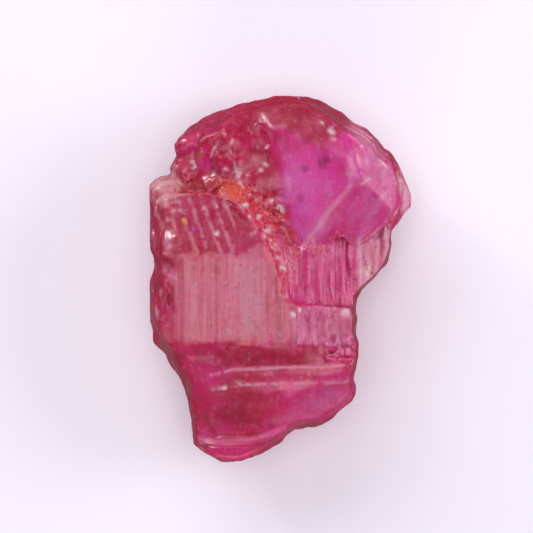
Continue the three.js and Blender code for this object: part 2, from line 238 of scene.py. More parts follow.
def ease(value, low, high):
    """0 below low, 1 above high, and a smooth rise between them."""
    share = np.clip((value - low) / (high - low), 0, 1)
    return share * share * (3 - 2 * share)


def inside(plan, blur):
    """1 inside a plan seen from above, 0 outside it, with a border as wide as blur."""
    x, y = place[:, 0], place[:, 1]
    within = np.zeros(len(place), bool)
    for (x0, y0), (x1, y1) in zip(plan, plan[1:] + plan[:1]):
        if y0 != y1:
            crossing = x0 + (y - y0) / (y1 - y0) * (x1 - x0)
            within ^= ((y0 > y) != (y1 > y)) & (x < crossing)
    gap = gap_to(plan + plan[:1])
    return ease(np.where(within, gap, -gap), -blur / 2, blur / 2)


def lattice(size, stretch=(1, 1, 1), turn=0):
    """The points counted in cells of this size, stretched, and turned in degrees seen from above."""
    angle = math.radians(turn)
    across = place[:, 0] * math.cos(angle) + place[:, 1] * math.sin(angle)
    along = place[:, 1] * math.cos(angle) - place[:, 0] * math.sin(angle)
    return np.column_stack((across, along, place[:, 2])) / (size * np.array(stretch))


def chance(cell, seed):
    """A repeatable random number from 0 to 1 for each cell of a lattice."""
    mixed = cell.astype(np.int64) @ CELL_MIXER + seed * SEED_MIXER
    mixed = ((mixed ^ (mixed >> 13)) & 0xFFFFFFFF) * 1274126177
    mixed = ((mixed ^ (mixed >> 15)) & 0xFFFFFFFF) * 1103515245
    return ((mixed ^ (mixed >> 16)) & 0xFFFFFF) / 0xFFFFFF


def wander(size, seed, stretch=(1, 1, 1), turn=0):
    """Smooth random heights from -1 to 1, whose hills are about as wide as size."""
    spot = lattice(size, stretch, turn)
    cell = np.floor(spot)
    share = spot - cell
    share = share * share * (3 - 2 * share)
    height = np.zeros(len(spot))
    for corner in itertools.product((0, 1), repeat=3):
        weight = np.prod(np.where(corner, share, 1 - share), axis=1)
        height += weight * (2 * chance(cell + corner, seed) - 1)
    return height


def facets(where, size, lean, seed, stretch=(1, 1, 1), turn=0, hollow=0):
    """Heights of tilted faces packed side by side, as broken crystal shows, in the marked places. The
    faces are flat, or with hollow above 0 they are scoops that meet in ridges."""
    broken_up = where > 0
    spot = lattice(size, stretch, turn)[broken_up]
    home = np.floor(spot)
    nearest = np.full(len(spot), np.inf)
    height = np.zeros(len(spot))
    for neighbour in itertools.product((-1, 0, 1), repeat=3):
        cell = home + neighbour
        middle = cell + np.column_stack([chance(cell, seed + axis) for axis in range(3)])
        tilt = 2 * np.column_stack([chance(cell, seed + 3 + axis) for axis in range(3)]) - 1
        away = spot - middle
        gap = (away ** 2).sum(axis=1)
        level = (away * tilt).sum(axis=1) + hollow * gap
        rank = level if hollow else gap
        closer = rank < nearest
        nearest[closer] = rank[closer]
        height[closer] = level[closer]
    everywhere = np.zeros(len(place))
    everywhere[broken_up] = height * lean * size
    return everywhere * where


lift = np.zeros(len(place))                   # how far each point is raised along Z
swell = np.zeros(len(place))                  # and along the way that it faces
facing_up = ease(facing[:, 2], 0.2, 0.55)     # faces that look up
off_floor = ease(place[:, 2], 0.05, 0.5)      # all but the flat underside
sides = ease(1 - np.abs(facing[:, 2]), 0.15, 0.6) * off_floor
sides *= 1 - inside(INNER_PLAN, 0.8) * ease(place[:, 2], 3, 4)
sheets = place[:, 2] / SHEET + 0.7 * wander(3.0, 23) + 0.7 * wander(1.3, 24, (6, 6, 1))
split = ease(wander(2.4, 25), -0.3, 0.2)
swell += sides * (0.09 * wander(0.95, 1) + 0.03 * wander(0.42, 2) + 0.008 * wander(0.2, 3))
swell += (
    facets(sides, 2.2, 0.07, 4, (1, 1, 0.7), hollow=HOLLOW)
    + facets(sides, 0.9, 0.05, 14, hollow=HOLLOW)
)
swell += sides * split * 0.1 * (sheets - np.floor(sheets) - 0.5)
swell += off_floor * 0.02 * wander(0.5, 26)

# The prism on the left: a face of the crystal as it grew, with fine lines all along it. The rim
# that falls away above it is fluted aslant, and a thin groove follows its edge.
RIM_EDGE = [
    (-6.3, 3.3), (-6.1, 3.75), (-5.7, 4.05), (-5.0, 4.3), (-3.8, 4.33), (-2.95, 4.1), (-2.3, 3.8),
    (-1.75, 3.2), (-1.1, 2.3), (-0.6, 1.45), (-0.1, 0.4), (0.12, -0.5),
]
PRISM = [(-7.0, -3.15), (-7.0, 2.9)] + RIM_EDGE + [(0.15, -1.0), (0.8, -1.2), (0.8, -3.15)]
RIM_TILT = 21             # degrees from +Y to the flutes
FLUTE_PITCH = 0.56        # mm from one flute to the next


def stroke(line, width, blur=0.1):
    """1 along a line seen from above, as wide as width, and 0 away from it."""
    return ease(gap_to(line), width / 2 + blur, width / 2)


prism = inside(PRISM, 0.2) * facing_up
across, along = place[:, 0], place[:, 1]
margin = prism * ease(across - 0.1 * along + 0.35 * wander(0.7, 31), -5.0, -5.6) * ease(along, 2.2, 1.2)
top_of_satin = 1.25 + 0.5 * ease(across, -1.7, -1.0) + 0.15 * wander(0.3, 32, (1, 3, 1))
satin = (prism - margin) * ease(along - top_of_satin, 0.15, -0.15)
rim = prism - margin - satin
across_rim = lattice(FLUTE_PITCH, (1, 1, 1), RIM_TILT)[:, 0] + 0.12 * wander(0.9, 33)
flutes = ease(np.cos(2 * math.pi * across_rim), 0.0, 0.95) * ease(wander(0.7, 39, (1, 1.6, 1)), -0.75, 0.1)
flutes *= ease(wander(0.22, 40), -0.8, 0.3) * ease(across, -1.9, -2.5)
lift += satin * (0.014 * wander(0.4, 34, (1, 30, 5)) + 0.014 * wander(0.18, 35, (1, 40, 5)))
lift += rim * (0.06 * flutes + 0.03 * wander(0.5, 36) - 0.02)
lift += margin * (0.1 * wander(0.62, 37) + 0.03 * wander(0.3, 38))
fringe = ease(along + 0.2 * wander(0.3, 30, (1, 4, 1)), -3.15, -2.8)
lift -= 0.07 * stroke([(x + 0.16, y - 0.2) for x, y in RIM_EDGE[1:7]], 0.03, 0.1) * facing_up

# The step to the right of the prism, level with it and lined as it is, the rubble at its foot, and
# the ribs above it, which broke lengthwise along the same lines.
RIBS = [
    (-0.1, 1.9), (1.0, 1.5), (1.9, 2.0), (2.9, 2.3), (3.8, 1.9), (3.8, -1.3), (0.9, -1.15), (0.1, -0.6),
]
STEP = [(0.8, -1.2), (4.2, -1.4), (4.2, -3.3), (0.8, -3.2)]
RUBBLE = [(2.2, -2.9), (3.5, -2.8), (3.6, -4.0), (2.3, -3.9)]
RIB_SHARPNESS = 1.6


def ribs(size, seed, stretch=(1, 1, 1), turn=0):
    """Heights from 0 to 1 that rise to sharp ribs."""
    return 1 - np.abs(wander(size, seed, stretch, turn)) * RIB_SHARPNESS


ribbed = inside(RIBS, 0.3) * facing_up
step = inside(STEP, 0.15) * facing_up
rubble = inside(RUBBLE, 0.4) * facing_up
lift += (
    ribbed * 0.07 * (ribs(0.24, 41, (1, 9, 3), 2) - 0.5)
    + facets(ribbed, 0.5, 0.1, 42, (0.6, 2.4, 1), 3)
)
lift += step * 0.03 * wander(0.4, 51, (1, 12, 3)) + facets(step, 0.7, 0.15, 52, (0.7, 2.5, 1))
lift += facets(rubble, 0.45, 0.5, 61) + rubble * 0.03 * wander(0.25, 68)

# The flake to the right is thin, and ribbed as the face beside it is. It has split from the stone
# along its inner edge.
FLAKE = [(3.8, 1.7), (4.7, 2.4), (5.4, 2.9), (5.6, 1.5), (4.6, -0.2), (3.8, -0.9)]
flake = inside(FLAKE, 0.25) * facing_up
lift += flake * 0.12 * (ribs(0.36, 71, (1, 6, 3), 4) - 0.5) + facets(flake, 0.6, 0.25, 72, (0.7, 1.8, 1))

# The broken shoulder is split in large soft faces. The seam that runs down from it between the
# prism and the lobe is crushed to crumbs.
SHOULDER = [
    (-1.4, 9.6), (-7.2, 9.6), (-7.2, 4.8), (-5.6, 4.2), (-2.9, 4.2), (-1.6, 3.1), (-0.4, 1.2),
    (0.1, -0.6), (0.95, 1.2), (0.7, 2.3), (0.4, 3.5), (0.0, 4.8), (-0.25, 5.9), (-0.8, 7.2),
]
SEAM = [(-5.0, 4.6), (-3.6, 4.6), (-2.45, 4.4), (-1.3, 3.5), (-0.25, 2.4), (0.2, 0.8), (0.3, -0.6)]
WIDE_SEAM = [(-1.6, 3.95), (-0.7, 3.3), (-0.15, 2.4), (0.25, 1.3)]
broken = inside(SHOULDER, 0.9) * ease(facing[:, 2], -0.1, 0.3)
seam = np.maximum(stroke(SEAM, 0.45, 0.4), stroke(WIDE_SEAM, 1.0, 0.5)) * broken
lift += facets(broken, 1.2, 0.045, 81) + facets(broken, 0.55, 0.03, 91, (1, 1.6, 1), 30)
lift += broken * 0.1 * wander(1.1, 101)
crumbs = seam * ease(across, -3.4, -2.6)
lift += facets(crumbs, 0.42, 0.19, 111) + crumbs * 0.03 * wander(0.22, 118)

# The lobe: glassy and smooth, with one soft crease across it and the faintest of waves. It is clear
# to the left of the crease and clouded to the right.
LOBE = [
    (1.5, 9.5), (-1.5, 9.5), (-1.1, 8.2), (-0.3, 6.9), (0.0, 5.6), (0.05, 3.9), (0.4, 2.3), (0.95, 1.35),
    (2.0, 1.75), (3.1, 2.15), (3.8, 1.75), (4.7, 2.4), (5.45, 3.05), (5.85, 3.9), (5.8, 4.9),
    (5.4, 5.85), (4.95, 6.5), (4.9, 7.5), (3.4, 9.0),
]
CREASE = [(1.0, 1.45), (1.7, 2.4), (2.4, 3.35), (3.0, 4.05), (3.5, 4.65), (3.9, 5.2)]
lobe = inside(LOBE, 0.8) * facing_up
crease = stroke(CREASE, 0.05, 0.16) * lobe * ease(along, 5.4, 3.8)
clouded = lobe * ease(across - 0.85 * (along - 4.2), 2.4, 3.6)
lift += lobe * (0.05 * wander(1.9, 121) + 0.012 * wander(0.7, 122, (1, 2.2, 1), -40))

# The terraces below the prism: two thin sheets whose bevelled edges cross the stone as ledges, and
# the smooth face that falls away below them to a wedge-shaped tip.
TERRACES = [(-7.0, -3.15), (0.8, -3.2), (4.4, -3.5), (4.4, -9.6), (-7.0, -9.6)]
UPPER_LEDGE = [(-3.6, -4.85), (-3.1, -4.68), (-2.5, -4.5), (-1.0, -4.4), (1.0, -4.33), (3.2, -4.24)]
LOWER_LEDGE = [(-3.3, -5.45), (-2.6, -5.3), (-1.8, -5.2), (0.3, -5.16), (2.0, -5.08), (3.35, -5.02)]
TIP_RIDGE = [(-4.15, -7.85), (-3.2, -8.05), (-2.4, -8.05), (-1.1, -7.85), (-0.4, -7.6), (0.2, -7.3)]
terraces = inside(TERRACES, 0.2) * facing_up
tip_ridge = stroke(TIP_RIDGE, 0.1, 0.2) * facing_up
ledges = np.maximum(stroke(UPPER_LEDGE, 0.06, 0.1), stroke(LOWER_LEDGE, 0.06, 0.1)) * facing_up
worn_away = 0.6 * ease(-across, 1.2, 3.2)
ledges *= ease(wander(0.45, 131) + 0.6 * wander(0.15, 132) - worn_away, -0.75, -0.2)
lift += terraces * (0.05 * wander(1.5, 133) + 0.02 * wander(0.6, 134))
lift += 0.02 * ledges + 0.07 * tip_ridge

# The smooth parts lose their steps first, each as much as it is smooth. Then the relief is given to
# all the points at once, and the worn and the chipped parts are rounded a little.
SMOOTHING = {"merged": 300, "glassy": 160, "worn": 200, "striated": 40}
ROUNDING = {"worn": 4, "chipped": 3}
FAINTEST = 0.004          # a weight below this is left out


def mark(name, weights):
    """Keeps a weight for each of the stone's points, as a vertex group with this name."""
    group = stone.vertex_groups.new(name=name)
    for index in np.flatnonzero(weights > FAINTEST):
        group.add([int(index)], float(weights[index]), "REPLACE")


mark("glassy", np.clip(lobe + terraces, 0, 1))
mark("striated", np.clip(prism, 0, 1))
mark("worn", np.clip(broken - seam, 0, 1))
mark("chipped", np.clip(sides - broken, 0, 1))
left_of_lobe = stroke([(-1.5, 9.4), (-0.95, 7.6), (-0.2, 6.0), (0.0, 4.9)], 1.2, 1.6)
right_of_prism = stroke([(-0.7, 1.7), (-0.1, 0.4), (0.15, -0.5), (0.6, -1.0)], 0.8, 0.8)
mark("merged", np.maximum(left_of_lobe, right_of_prism) * ease(place[:, 2], 2.5, 3.5))
for name, iterations in SMOOTHING.items():
    shape("SMOOTH", factor=0.5, iterations=iterations, vertex_group=name)
place = rows_of("place") + facing * swell[:, None]
place[:, 2] += lift
low, high = (Vector(corner) / MM for corner in cad_box)
for axis in range(3):
    place[:, axis] = np.clip(place[:, axis], low[axis], high[axis])
stone.data.vertices.foreach_set("co", place.ravel())
stone.data.update()
shape("SMOOTH", factor=0.3, iterations=1)
for name, iterations in ROUNDING.items():
    shape("SMOOTH", factor=0.5, iterations=iterations, vertex_group=name)


# Each point keeps a number for each part and mark of the stone, for the material to read. Among the
# marks are fine pale lines, painted highlights where a thin edge or a crack inside catches the light,
# and glints, painted highlights where a tiny face does, given by x, y and half width. Crests and
# hollows are found from the shape, for a painted highlight on the one and painted shade in the other.
FULL_RELIEF = 0.045       # mm that a crest stands out of its surroundings
FINE_LINES = [
    [(3.7, 6.4), (3.88, 5.8), (3.98, 5.2)], [(3.35, 7.75), (3.55, 7.4), (3.72, 7.1)],
    [(4.9, 6.0), (5.3, 5.45), (5.6, 5.0)], [(6.0, 5.6), (6.22, 5.0), (6.25, 4.3), (6.05, 3.6)],
    [(6.35, 5.1), (6.48, 4.5), (6.4, 3.8)], [(5.78, 5.3), (5.95, 4.7), (5.95, 4.3)],
    [(3.9, 2.0), (4.05, 0.8), (4.0, -0.2)], [(4.7, 2.3), (4.75, 1.4)], [(5.2, 2.6), (5.3, 1.7)],
    [(3.8, 4.5), (4.4, 5.0)], [(3.45, 5.0), (3.75, 5.6), (3.85, 6.2)],
    [(-5.45, -4.1), (-5.0, -4.7), (-4.5, -5.5), (-4.35, -6.4), (-4.25, -7.7)],
    [(-2.3, 5.9), (-2.15, 5.2), (-1.8, 4.5)], [(-2.0, 6.1), (-1.95, 5.4)], [(-1.3, 6.95), (-1.1, 6.5)],
    [(-3.1, 6.7), (-3.3, 6.4), (-3.4, 6.1)], [(-2.35, 6.9), (-2.5, 6.4), (-2.3, 5.9)],
    [(-4.8, 5.3), (-4.45, 5.7), (-4.3, 6.1)],
]
GLINTS = [
    (-0.7, 5.65, 0.13), (-0.95, 5.4, 0.08), (-2.65, 5.45, 0.13), (-2.2, 5.35, 0.1), (-4.25, 5.55, 0.07),
    (-2.05, 5.1, 0.12), (-2.0, 4.75, 0.09), (-1.65, 5.15, 0.06),
    (-4.3, 5.85, 0.08), (-1.75, 3.65, 0.16), (-1.25, 2.3, 0.12), (-0.6, 2.45, 0.18), (0.05, 3.65, 0.11),
    (0.1, 3.4, 0.08), (-1.0, 3.05, 0.1), (-0.75, 2.1, 0.1), (-3.1, 2.25, 0.1), (1.65, 8.7, 0.14),
    (2.5, 7.3, 0.16), (2.05, 7.75, 0.08), (2.6, 6.9, 0.1), (4.3, 7.1, 0.1), (0.95, -1.55, 0.12),
    (0.65, -1.75, 0.12), (3.2, -1.6, 0.17), (-2.05, -5.1, 0.09), (-2.7, -5.35, 0.07), (-0.3, 1.6, 0.12),
    (-1.5, 3.1, 0.1), (4.38, 0.6, 0.14), (4.3, 0.25, 0.12),
    (-0.4, 3.9, 0.09), (-0.2, 1.0, 0.1), (0.15, 0.6, 0.12), (-0.5, 1.9, 0.09), (-3.9, 4.6, 0.1),
]


def keep(name, values):
    """Keeps a number for each of the stone's points, which its material reads by this name."""
    layer = stone.data.attributes.new(name, "FLOAT", "POINT")
    layer.data.foreach_set("value", np.clip(values, 0, 1))


def averaged(values, rounds):
    """Each point's values evened out with its neighbours', this many times over."""
    count = np.bincount(ends.ravel(), minlength=len(values))[:, None]
    for _ in range(rounds):
        total = np.column_stack([
            np.bincount(ends[:, 0], column[ends[:, 1]], len(values))
            + np.bincount(ends[:, 1], column[ends[:, 0]], len(values))
            for column in values.T
        ])
        values = (values + total / count) / 2
    return values


def dots(spots):
    """1 at each spot of this list, as wide as its last number, and 0 away from them."""
    ragged = 0.12 * wander(0.16, 151)
    near = [
        ease(np.hypot(place[:, 0] - x, place[:, 1] - y) + ragged, 1.5 * size, 0.4 * size)
        for x, y, size in spots
    ]
    return np.max(near, axis=0) * facing_up


place = rows_of("place")
facing = rows_of("facing")
ends = np.empty(len(stone.data.edges) * 2, int)
stone.data.edges.foreach_get("vertices", ends)
ends = ends.reshape(-1, 2)

fine_lines = np.max([stroke(line, 0.01, 0.08) for line in FINE_LINES], axis=0) * facing_up
fine_lines *= ease(wander(0.3, 141), -0.5, 0.3)
relief = ((place - averaged(place, rounds=14)) * facing).sum(axis=1) / FULL_RELIEF
keep("crests", ease(relief, 0.2, 1) * np.max([ribbed, rubble, step, flake, seam, 0.4 * margin], axis=0))
keep("hollows", ease(-relief, 0.15, 0.8) * (1 - 0.7 * flake) * (1 - 0.7 * sides))
keep("sides", sides * (1 - broken) * (1 - 0.8 * flake))
keep("satin", satin * fringe * (0.8 + 0.2 * wander(0.8, 142, (1, 2.5, 1))))
keep("streaked", satin * ease(place[:, 0], -1.2, -0.2))
keep("rim", rim)
keep("flutes", rim * flutes)
keep("margin", margin)
keep("ribbed", np.maximum(ribbed, rubble))
keep("step", step)
keep("flake", flake)
keep("broken", broken)
keep("seam", seam)
keep("lobe", lobe)
keep("clouded", clouded)
keep("crease", crease)
keep("ledges", ledges)
keep("tip_ridge", tip_ridge)
keep("fine_lines", fine_lines)
keep("glints", dots(GLINTS))

# The mesh is thinned where it is plain. It is shaded smooth apart from its sharp edges, and put
# back at its real size.
MOST_TRIANGLES = 195_000
SHARP_EDGE = 60           # degrees
triangles = sum(len(face.vertices) - 2 for face in stone.data.polygons)
shape("DECIMATE", ratio=min(1, MOST_TRIANGLES / triangles))
stone.vertex_groups.clear()
bpy.ops.object.shade_smooth_by_angle(angle=math.radians(SHARP_EDGE))
stone.scale = (MM, MM, MM)
bpy.ops.object.transform_apply(scale=True)


# Ruby: see-through with corundum's own refraction, but clouded, so that light also scatters near
# the surface. Its colour runs from crimson through magenta to a greyish pink, which on the satin
# face is a painted sheen.
def srgb(red, green, blue):
    """A colour as it looks in a picture, as the light that it stands for."""
    return tuple(
        (part / 255 / 12.92) if part <= 10 else ((part / 255 + 0.055) / 1.055) ** 2.4
        for part in (red, green, blue)
    ) + (1,)


RUBY_IOR = 1.76
ABSORPTION = 150          # in each metre of crystal
ruby = bpy.data.materials.new("ruby_crystal")
ruby.use_nodes = True
nodes = ruby.node_tree.nodes
links = ruby.node_tree.links
surface = nodes["Principled BSDF"]
surface.inputs["IOR"].default_value = RUBY_IOR
surface.inputs["Transmission Weight"].default_value = 0.5
surface.inputs["Subsurface Weight"].default_value = 0.6
surface.inputs["Subsurface Radius"].default_value = (1.0, 0.25, 0.6)
surface.inputs["Subsurface Scale"].default_value = 0.6 * MM
depths = nodes.new("ShaderNodeVolumeAbsorption")
depths.inputs["Color"].default_value = (0.95, 0.06, 0.5, 1)
depths.inputs["Density"].default_value = ABSORPTION
links.new(depths.outputs["Volume"], nodes["Material Output"].inputs["Volume"])

where = nodes.new("ShaderNodeTexCoord")
in_mm = nodes.new("ShaderNodeMapping")
in_mm.inputs["Scale"].default_value = (1 / MM, 1 / MM, 1 / MM)
links.new(where.outputs["Object"], in_mm.inputs["Vector"])


def mask(name):
    """One of the numbers that the stone's points keep."""
    reader = nodes.new("ShaderNodeAttribute")
    reader.attribute_name = name
    return reader.outputs["Fac"]


def cloud(size, detail, stretch=(1, 1, 1), turn=0):
    """Noise whose patches are about as wide as size, in mm, stretched, and turned in degrees."""
    frame_of_noise = nodes.new("ShaderNodeMapping")
    frame_of_noise.vector_type = "TEXTURE"
    frame_of_noise.inputs["Rotation"].default_value = (0, 0, math.radians(turn))
    frame_of_noise.inputs["Scale"].default_value = stretch
    links.new(in_mm.outputs["Vector"], frame_of_noise.inputs["Vector"])
    noise = nodes.new("ShaderNodeTexNoise")
    noise.inputs["Scale"].default_value = 1 / size
    noise.inputs["Detail"].default_value = detail
    links.new(frame_of_noise.outputs["Vector"], noise.inputs["Vector"])
    return noise.outputs["Fac"]


def ranged(value, low, high, to_low=0.0, to_high=1.0):
    """A value from low to high, put on another range with soft ends."""
    fit = nodes.new("ShaderNodeMapRange")
    fit.interpolation_type = "SMOOTHSTEP"
    fit.inputs["From Min"].default_value = low
    fit.inputs["From Max"].default_value = high
    fit.inputs["To Min"].default_value = to_low
    fit.inputs["To Max"].default_value = to_high
    links.new(value, fit.inputs["Value"])
    return fit.outputs["Result"]


def joined(kind, first, second):
    """Two values joined by a Math node of this kind."""
    math_node = nodes.new("ShaderNodeMath")
    math_node.operation = kind
    for socket, value in zip(math_node.inputs, (first, second)):
        if isinstance(value, (int, float)):
            socket.default_value = value
        else:
            links.new(value, socket)
    return math_node.outputs["Value"]


def tint(colour, paint, share):
    """A colour with some paint mixed into it."""
    mix = nodes.new("ShaderNodeMix")
    mix.data_type = "RGBA"
    if isinstance(colour, tuple):
        mix.inputs["A"].default_value = colour
    else:
        links.new(colour, mix.inputs["A"])
    mix.inputs["B"].default_value = paint
    links.new(share, mix.inputs["Factor"])
    return mix.outputs["Result"]


def times(share, value):
    """One value times another."""
    return joined("MULTIPLY", share, value)


# A stain is a soft cloud of other colour that lies in the crystal near its upper face. It is full
# near its middle, fades away past its reach, and frays with the noise that it is given.
STAIN_FULL = 0.2
STAIN_ENDS = 1.5
stain = bpy.data.node_groups.new("stain", "ShaderNodeTree")
for name, kind in (
    ("Colour", "NodeSocketColor"), ("Stain", "NodeSocketColor"), ("Place", "NodeSocketVector"),
    ("Middle", "NodeSocketVector"), ("Reach", "NodeSocketVector"), ("Turn", "NodeSocketFloat"),
    ("Strength", "NodeSocketFloat"), ("Fray", "NodeSocketFloat"),
):
    stain.interface.new_socket(name, in_out="INPUT", socket_type=kind)
stain.interface.new_socket("Colour", in_out="OUTPUT", socket_type="NodeSocketColor")
given = stain.nodes.new("NodeGroupInput")
put_out = stain.nodes.new("NodeGroupOutput")
from_middle = stain.nodes.new("ShaderNodeVectorMath")
from_middle.operation = "SUBTRACT"
turned = stain.nodes.new("ShaderNodeVectorRotate")
turned.rotation_type = "Z_AXIS"
turned.invert = True
in_reach = stain.nodes.new("ShaderNodeVectorMath")
in_reach.operation = "DIVIDE"
distance = stain.nodes.new("ShaderNodeVectorMath")
distance.operation = "LENGTH"
frayed = stain.nodes.new("ShaderNodeMath")
frayed.operation = "ADD"
edge = stain.nodes.new("ShaderNodeMapRange")
edge.interpolation_type = "SMOOTHSTEP"
edge.inputs["From Min"].default_value = STAIN_ENDS
edge.inputs["From Max"].default_value = STAIN_FULL
weighed = stain.nodes.new("ShaderNodeMath")
weighed.operation = "MULTIPLY"
blend = stain.nodes.new("ShaderNodeMix")
blend.data_type = "RGBA"
for source, target in (
    (given.outputs["Place"], from_middle.inputs[0]), (given.outputs["Middle"], from_middle.inputs[1]),
    (from_middle.outputs["Vector"], turned.inputs["Vector"]),
    (given.outputs["Turn"], turned.inputs["Angle"]),
    (turned.outputs["Vector"], in_reach.inputs[0]), (given.outputs["Reach"], in_reach.inputs[1]),
    (in_reach.outputs["Vector"], distance.inputs[0]), (distance.outputs["Value"], frayed.inputs[0]),
    (given.outputs["Fray"], frayed.inputs[1]), (frayed.outputs["Value"], edge.inputs["Value"]),
    (edge.outputs["Result"], weighed.inputs[0]), (given.outputs["Strength"], weighed.inputs[1]),
    (weighed.outputs["Value"], blend.inputs["Factor"]), (given.outputs["Colour"], blend.inputs["A"]),
    (given.outputs["Stain"], blend.inputs["B"]), (blend.outputs["Result"], put_out.inputs["Colour"]),
):
    stain.links.new(source, target)

# The colours of the stone's parts are laid over each other, from the widest to the finest.
CRIMSON = srgb(220, 35, 98)
MAGENTA = srgb(255, 80, 200)
ROSE = srgb(240, 165, 190)
LILAC = srgb(240, 145, 205)
DARK_RED = srgb(165, 10, 50)
PALE = srgb(255, 215, 232)
BLUSH = srgb(255, 180, 210)
ORANGE = srgb(255, 95, 25)
SMUDGE = srgb(140, 10, 80)
HOT_PINK = srgb(255, 50, 170)
PALE_LILAC = srgb(245, 165, 205)
GREY_LILAC = srgb(235, 160, 205)

fray = ranged(cloud(0.6, 3), 0.25, 0.75, -0.4, 0.4)
wisps = ranged(cloud(0.4, 4, (1, 6, 3), -36), 0.42, 0.66)
streaks = cloud(0.3, 3, (1, 14, 5))
lines = cloud(0.12, 2, (1, 25, 5))
colour = tint(CRIMSON, MAGENTA, ranged(cloud(2.2, 4), 0.35, 0.65, 0.0, 0.35))
colour = tint(colour, srgb(180, 0, 60), times(mask("sides"), ranged(cloud(1.6, 4), 0.35, 0.65, 0.85, 0.4)))
colour = tint(colour, MAGENTA, times(mask("lobe"), 0.7))
colour = tint(colour, srgb(245, 165, 210), times(times(mask("clouded"), wisps), 0.75))
colour = tint(colour, CRIMSON, times(mask("lobe"), ranged(cloud(1.3, 4), 0.48, 0.7, 0.0, 0.45)))
veins = ranged(cloud(0.45, 4, (1, 3, 1)), 0.52, 0.66, 0.0, 0.6)
colour = tint(colour, srgb(255, 140, 215), times(mask("lobe"), veins))
colour = tint(colour, srgb(215, 0, 90), times(mask("broken"), 0.85))
colour = tint(colour, DARK_RED, times(mask("broken"), ranged(cloud(0.9, 4), 0.4, 0.65, 0.0, 0.6)))
sparks = ranged(cloud(0.5, 4), 0.56, 0.68, 0.0, 0.6)
colour = tint(colour, srgb(255, 45, 165), times(mask("broken"), sparks))
# Painted sheen: the satin face is painted a pale greyish pink, as it looks where it mirrors the light.
colour = tint(colour, srgb(240, 170, 190), times(mask("satin"), 0.6))
colour = tint(colour, CRIMSON, times(mask("satin"), ranged(streaks, 0.5, 0.7, 0.0, 0.4)))
colour = tint(colour, CRIMSON, times(mask("satin"), ranged(lines, 0.44, 0.58, 0.0, 0.65)))
colour = tint(colour, DARK_RED, times(mask("streaked"), ranged(streaks, 0.5, 0.6, 0.0, 0.5)))
colour = tint(colour, srgb(180, 15, 45), times(mask("rim"), 0.5))
# Painted highlights: the flutes are painted rose along their crests, where they catch the light.
colour = tint(colour, ROSE, times(mask("flutes"), 0.65))
colour = tint(colour, DARK_RED, times(mask("margin"), ranged(cloud(0.7, 3), 0.42, 0.6, 0.0, 0.8)))
colour = tint(colour, BLUSH, times(mask("margin"), ranged(cloud(0.45, 3, (1, 2, 1)), 0.52, 0.66, 0.0, 0.6)))
colour = tint(colour, srgb(245, 90, 165), times(mask("ribbed"), 0.8))
# Painted light: the thin flake is painted pale pink, as it looks with light shining through it from behind.
colour = tint(colour, srgb(255, 160, 200), times(mask("flake"), 0.95))
colour = tint(colour, CRIMSON, times(mask("flake"), ranged(streaks, 0.52, 0.65, 0.0, 0.6)))
# Painted sheen: the step is painted lilac, as it looks where its level face mirrors the light.
colour = tint(colour, LILAC, times(mask("step"), 0.45))
colour = tint(colour, srgb(255, 85, 115), times(mask("seam"), 0.75))
colour = tint(colour, srgb(255, 85, 45), times(mask("seam"), ranged(cloud(0.35, 4), 0.48, 0.6, 0.0, 0.7)))
colour = tint(colour, DARK_RED, times(mask("seam"), ranged(cloud(0.22, 3), 0.52, 0.64, 0.0, 0.8)))
# Painted glints: pale specks among the seam's crumbs, where they sparkle.
colour = tint(colour, PALE, times(mask("seam"), ranged(cloud(0.18, 2), 0.6, 0.7, 0.0, 0.8)))

